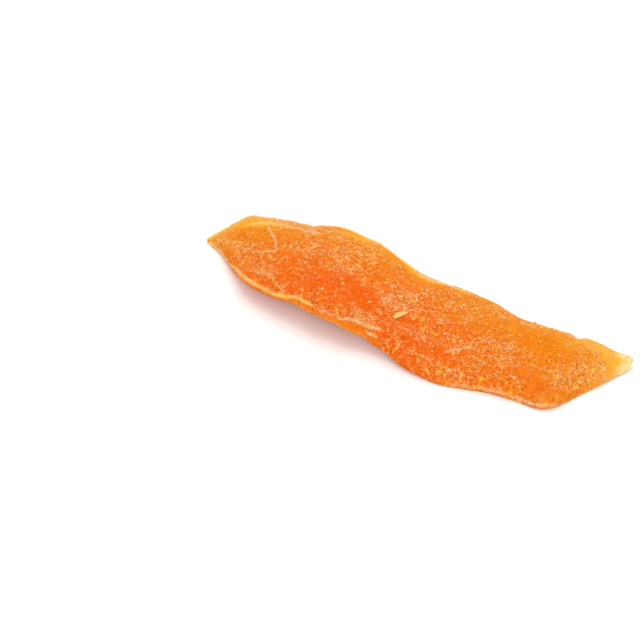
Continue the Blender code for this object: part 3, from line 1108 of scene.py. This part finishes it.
def surface_place(tree, x, y):
    """The place on the top of the flesh at a point in plan, in metres, and its normal."""
    start = Vector((x * MM, y * MM, RAY_START))
    hit, normal, _, _ = tree.ray_cast(start, Vector((0.0, 0.0, -1.0)))
    return np.array(hit), np.array(normal)


def size_setting(name, words, default):
    return FloatProperty(name=name, description=words, default=default, unit="LENGTH")


def count_setting(name, words, default):
    return IntProperty(name=name, description=words, default=default)


def light_setting(name, words, default):
    return FloatProperty(name=name, description=words, default=default)


def tint(name, words, default):
    return FloatVectorProperty(name=name, description=words, default=default, subtype="COLOR")


class MangoSizes(bpy.types.PropertyGroup):
    """Thicknesses of the flesh."""

    core: size_setting("Middle", "Thickness along the middle", 0.0046)
    tip: size_setting("Tips", "Thickness at the two tips", 0.0013)
    cut_edge: size_setting("Cut edge", "Height of the square cut near edge", 0.0035)
    rolled_edge: size_setting("Rolled edge", "Thickness of the rolled near edge", 0.0022)
    thin_edge: size_setting("Thin edge", "Thickness of the thin far edge", 0.0010)


class MangoRelief(bpy.types.PropertyGroup):
    """Heights of the fine relief of the flesh."""

    wrinkle: size_setting("Wrinkles", "Height of the leathery wrinkles", 0.00016)
    grain: size_setting("Grain", "Height of the fine grain", 0.00007)
    rim: size_setting("Rim crust", "Height of the sugar crusts on the rims", 0.00028)
    band: size_setting("Amber band", "How far the smooth far band lies lower", 0.00012)


class MangoLook(bpy.types.PropertyGroup):
    """Colours of the flesh and the sugar."""

    # Deep to pale: partly the flesh's own colour, partly painted light passing through thin flesh.
    deep: tint("Thick flesh", "Redder flesh where it is thick", (0.780, 0.105, 0.003))
    body: tint("Flesh", "Most of the flesh", (0.770, 0.143, 0.004))
    amber: tint("Thin flesh", "Amber flesh where it is thin", (0.760, 0.245, 0.007))
    yellow: tint("Yellow flesh", "Yellow flesh at the tips", (0.835, 0.410, 0.026))
    pale: tint("Pale tip", "Pale end of the broad tip", (0.940, 0.660, 0.290))
    cut: tint("Cut face", "Clear flesh of the cut edge", (0.765, 0.165, 0.005))
    glow: tint("Thin rim", "Pale yellow light in the thin rim", (0.980, 0.600, 0.095))
    pink: tint("Bloom", "Pinkish haze of fine sugar", (0.790, 0.250, 0.078))
    # Painted shade: colour of the dark specks round the sugar and along the crack.
    shade: tint("Pits", "Darker flesh in the pits", (0.520, 0.070, 0.001))
    frost: tint("Frost", "Frosty specks of sugar", (0.980, 0.470, 0.175))
    honey: tint("Honey", "Sugar that has soaked up juice", (0.930, 0.440, 0.045))
    crust: tint("Crust", "Sugar crust on the rims", (1.000, 0.620, 0.260))
    shred: tint("Shred", "The pale shred of pulp", (0.910, 0.470, 0.115))
    grain_dark: tint("Dark grains", "The darkest sugar grains", (0.900, 0.250, 0.015))
    grain_light: tint("Light grains", "Light sugar grains", (0.980, 0.640, 0.340))
    grain_white: tint("White grains", "The few whitest grains", (1.000, 0.820, 0.640))


class MangoSugar(bpy.types.PropertyGroup):
    """Counts and sizes of the scattered sugar."""

    flecks: count_setting("Flecks", "Number of curved flecks", 2000)
    grains: count_setting("Grains", "Number of grains", 4200)
    dust: count_setting("Dust", "Number of the finest crystals", 8000)
    crust: count_setting("Crust grains", "Number of grains on the rims", 4400)
    fleck_length: size_setting("Fleck", "Half length of a usual fleck", 0.00027)
    grain_size: size_setting("Grain", "Half size of a usual grain", 0.00012)
    dust_size: size_setting("Dust", "Half size of the finest crystals", 0.00007)


class MangoStage(bpy.types.PropertyGroup):
    """The floor and the light."""

    floor_size: size_setting("Floor", "Side of the square floor", 6.0)
    # Tinted pink: clipped to white where lit, it paints a pink glow from the flesh into the
    # shadows.
    floor_colour: tint("Floor colour", "Pale floor", (0.96, 0.90, 0.88))
    sky: light_setting("Sky", "Strength of the even light", 0.75)
    key: light_setting("Key light", "Power of the overhead light in watts", 3.4)
    fill: light_setting("Fill light", "Power of the front light in watts", 4.1)
    back: light_setting("Back light", "Power of the rear light in watts", 2.2)


class MangoBuild(bpy.types.PropertyGroup):
    """All settings of the slice."""

    sizes: PointerProperty(type=MangoSizes)
    relief: PointerProperty(type=MangoRelief)
    look: PointerProperty(type=MangoLook)
    sugar: PointerProperty(type=MangoSugar)
    stage: PointerProperty(type=MangoStage)


class MANGO_OT_flesh(bpy.types.Operator):
    """Build the flesh of the slice with its relief and masks"""

    bl_idname = "mango.flesh"
    bl_label = "Flesh"

    def execute(self, context):
        build = context.scene.mango_build
        mesh = build_flesh(build.sizes, build.relief)
        add_piece("mango_flesh", mesh, flesh_material(build.look))
        return {"FINISHED"}


class MANGO_OT_lumps(bpy.types.Operator):
    """Set the largest sugar lumps where the solid has them"""

    bl_idname = "mango.lumps"
    bl_label = "Sugar lumps"

    def execute(self, context):
        build = context.scene.mango_build
        draw = np.random.default_rng(SEEDS["sugar_lumps"])
        shift = plan_shift(Rings(build.sizes).points)
        make = bmesh.ops.create_icosphere
        points, faces = base_shape(make, subdivisions=2, radius=LUMP_SCALE)
        spots, frames, sizes = [], [], []
        for hit, normal, size, turn in lump_places(Flesh().tree(), shift):
            upright = normal.to_track_quat("Z", "Y").to_matrix()
            spots.append(hit + normal * (LUMP_SINK * LUMP_SCALE * size[2] * MM))
            frames.append(np.array(upright @ turn.to_matrix()))
            sizes.append([half * MM for half in size])
        shapes = uneven(draw, points, len(spots), LUMP_UNEVENNESS)
        shades = draw.uniform(*LUMP_SHADES, len(spots))
        places = np.array(spots), np.array(frames), np.array(sizes)
        mesh = join_copies("sugar_lumps", shapes, faces, *places, shades)
        material = sugar_material("sugar_lump", build.look, LUMP_ROUGHNESS)
        add_piece("sugar_lumps", mesh, material)
        return {"FINISHED"}


class MANGO_OT_grains(bpy.types.Operator):
    """Scatter the sugar: flecks, grains, dust and the crusts on the rims"""

    bl_idname = "mango.grains"
    bl_label = "Scattered sugar"

    def execute(self, context):
        build = context.scene.mango_build
        sugar = build.sugar
        flesh = Flesh()
        rise = flesh.normals[:, 2]
        upper = np.maximum(rise, 0.0) ** 2 + UNDERSIDE_SHARE * (rise < 0.0)
        raised = (flesh.points[:, 2] > TABLE_CLEARANCE * MM) | (rise > TOP_SLOPE)
        material = sugar_material("sugar_crystal", build.look, GRAIN_ROUGHNESS)
        make = bmesh.ops.create_cone
        block = base_shape(make, cap_ends=True, segments=4, radius1=1.0, radius2=0.5, depth=1.3)
        ball = base_shape(bmesh.ops.create_icosphere, subdivisions=1, radius=1.0)
        bloom, crust, inside = (flesh.mask(name) for name in ("bloom", "crust", "inside"))
        # Each kind: its number, shape, half size, where it is dense, and its spread of shades.
        kinds = {
            "sugar_flecks": (sugar.flecks, fleck_shape(FLECK_BEND), sugar.fleck_length,
                             bloom**1.6 * inside * upper, (1.5, 1.7)),
            "sugar_grains": (sugar.grains, ball, sugar.grain_size,
                             bloom**1.2 * inside * upper, (1.4, 2.0)),
            "sugar_dust": (sugar.dust, block, sugar.dust_size, bloom * upper, (1.0, 3.0)),
            "rim_crust": (sugar.crust, ball, sugar.grain_size * CRUST_GRAIN_SHARE, crust**1.5,
                          (3.2, 1.2)),
        }
        for name, (count, (points, faces), size, weight, lightness) in kinds.items():
            draw = np.random.default_rng(SEEDS[name])
            spots, normals, clear = flesh.scatter(draw, count, weight * raised)
            frames = turned_frames(draw, normals, GRAIN_TILT)
            spread = np.exp(draw.normal(0.0, GRAIN_SPREAD, (count, 1)))
            sizes = size * spread * draw.uniform(*GRAIN_STRETCH, (count, 3))
            spots = spots + normals * sizes[:, 2:] * draw.uniform(*GRAIN_SINK, (count, 1))
            spots[:, 2] = np.maximum(spots[:, 2], sizes.max(axis=1))
            lightened = clamp((clear - GRAIN_LIGHTENING[0]) / GRAIN_LIGHTENING[1])
            shades = np.maximum(draw.beta(*lightness, count), lightened)
            shapes = uneven(draw, points, count, GRAIN_UNEVENNESS)
            mesh = join_copies(name, shapes, faces, spots, frames, sizes, shades)
            add_piece(name, mesh, material)
        return {"FINISHED"}


class MANGO_OT_shred(bpy.types.Operator):
    """Lay the pale shred of pulp on the top"""

    bl_idname = "mango.shred"
    bl_label = "Pulp shred"

    def execute(self, context):
        look = context.scene.mango_build.look
        tree = Flesh().tree()
        line = np.array(SHRED_LINE)
        along = unit(np.gradient(line, axis=0))
        turns = np.linspace(0.0, math.tau, SHRED_SIDES, endpoint=False)
        section = (1.0 - SHRED_HOLLOW) * np.sin(turns) + SHRED_HOLLOW * np.cos(turns) ** 2
        places = [surface_place(tree, x, y) for x, y in line]
        hits, normals = (np.array(each) for each in zip(*places))
        normal = unit(normals.mean(axis=0))
        walked = np.arange(len(line))
        hits[:, 2] = np.polyval(np.polyfit(walked, hits[:, 2], 1), walked)
        points = []
        for hit, way, half in zip(hits, along, SHRED_WIDTHS):
            side = np.cross(normal, (*way, 0.0))
            height = SHRED_HEIGHT * half / max(SHRED_WIDTHS)
            middle = hit + normal * (height - SHRED_SINK) * MM
            rise = height * section
            reach = half * np.cos(turns)
            points += list(middle + (reach[:, None] * side + rise[:, None] * normal) * MM)
        ends = [tuple(range(SHRED_SIDES))[::-1]]
        ends.append(tuple(range(len(points) - SHRED_SIDES, len(points))))
        quads = ring_quads(len(line), SHRED_SIDES)[:, [0, 3, 2, 1]]
        mesh = mesh_from("pulp_shred", [tuple(point) for point in points], quads.tolist() + ends)
        weld(mesh, 1e-7)
        piece = add_piece("pulp_shred", mesh, shred_material(look))
        smooth = piece.modifiers.new("soft", "SUBSURF")
        smooth.levels = 2
        smooth.render_levels = 2
        return {"FINISHED"}


class MANGO_OT_ring(bpy.types.Operator):
    """Set the small ring of sugar grains beside the crack"""

    bl_idname = "mango.ring"
    bl_label = "Sugar ring"

    def execute(self, context):
        draw = np.random.default_rng(SEEDS["sugar_ring"])
        tree = Flesh().tree()
        points, faces = base_shape(bmesh.ops.create_icosphere, subdivisions=1, radius=1.0)
        spots, normals = [], []
        for turn in np.linspace(0.0, math.tau, RING_GRAINS, endpoint=False):
            x = RING_PLACE[0] + RING_RADIUS * math.cos(turn)
            y = RING_PLACE[1] + RING_RADIUS * math.sin(turn)
            hit, normal = surface_place(tree, x, y)
            spots.append(hit)
            normals.append(normal)
        frames = turned_frames(draw, np.array(normals), RING_TILT)
        sizes = RING_GRAIN_SIZE * MM * draw.uniform(*RING_STRETCH, (RING_GRAINS, 3))
        shapes = uneven(draw, points, RING_GRAINS, RING_UNEVENNESS)
        shades = np.full(RING_GRAINS, RING_SHADE)
        mesh = join_copies("sugar_ring", shapes, faces, np.array(spots), frames, sizes, shades)
        look = context.scene.mango_build.look
        material = sugar_material("sugar_ring", look, GRAIN_ROUGHNESS)
        add_piece("sugar_ring", mesh, material)
        return {"FINISHED"}


class MANGO_OT_stage(bpy.types.Operator):
    """Set the pale floor, the soft light and the camera"""

    bl_idname = "mango.stage"
    bl_label = "Stage"

    def execute(self, context):
        stage = context.scene.mango_build.stage
        half = stage.floor_size / 2.0
        low = -FLOOR_GAP * MM
        corners = [(-half, -half, low), (half, -half, low), (half, half, low), (-half, half, low)]
        floor = add_object("floor", mesh_from("floor", corners, [(0, 1, 2, 3)]))
        floor.data.materials.append(floor_material(stage))
        powers = (stage.key, stage.fill, stage.back)
        for (name, place), power in zip(LIGHT_PLACES.items(), powers):
            self.add_light(name, place, power)
        self.add_camera(context)
        world = bpy.data.worlds.new("even_light")
        world.use_nodes = True
        world.node_tree.nodes["Background"].inputs["Color"].default_value = (1.0, 1.0, 1.0, 1.0)
        world.node_tree.nodes["Background"].inputs["Strength"].default_value = stage.sky
        context.scene.world = world
        context.scene.view_settings.view_transform = "Standard"
        return {"FINISHED"}

    def add_light(self, name, place, power):
        light = bpy.data.lights.new(name, "AREA")
        light.shape = "DISK"
        light.size = LIGHT_SIZE
        light.energy = power
        lamp = add_object(name, light)
        lamp.location = place
        lamp.rotation_euler = (-Vector(place)).to_track_quat("-Z", "Y").to_euler()

    def add_camera(self, context):
        camera = bpy.data.cameras.new("camera")
        camera.lens = CAMERA_LENS
        camera.sensor_width = CAMERA_SENSOR
        camera.clip_start = 0.01
        level = math.cos(CAMERA_ELEVATION)
        back = Vector((math.sin(CAMERA_AZIMUTH) * level, -math.cos(CAMERA_AZIMUTH) * level,
                       math.sin(CAMERA_ELEVATION)))
        holder = add_object("camera", camera)
        holder.location = (Vector(CAMERA_TARGET) + back * CAMERA_DISTANCE) * MM
        holder.rotation_euler = (-back).to_track_quat("-Z", "Y").to_euler()
        context.scene.camera = holder


class MANGO_PT_panel(bpy.types.Panel):
    """The slice's pieces, in the order they are made"""

    bl_label = "Dried mango slice"
    bl_idname = "MANGO_PT_panel"
    bl_space_type = "VIEW_3D"
    bl_region_type = "UI"
    bl_category = "Mango"

    def draw(self, context):
        for operator in OPERATORS:
            self.layout.operator(operator.bl_idname)


OPERATORS = (
    MANGO_OT_flesh,
    MANGO_OT_lumps,
    MANGO_OT_grains,
    MANGO_OT_shred,
    MANGO_OT_ring,
    MANGO_OT_stage,
)
SETTINGS = (MangoSizes, MangoRelief, MangoLook, MangoSugar, MangoStage, MangoBuild)
CLASSES = (*SETTINGS, *OPERATORS, MANGO_PT_panel)


def register():
    for each in CLASSES:
        bpy.utils.register_class(each)
    bpy.types.Scene.mango_build = PointerProperty(type=MangoBuild)


def unregister():
    del bpy.types.Scene.mango_build
    for each in reversed(CLASSES):
        bpy.utils.unregister_class(each)


def main():
    register()
    bpy.ops.mango.flesh()
    bpy.ops.mango.lumps()
    bpy.ops.mango.grains()
    bpy.ops.mango.shred()
    bpy.ops.mango.ring()
    bpy.ops.mango.stage()


if __name__ == "__main__":
    main()
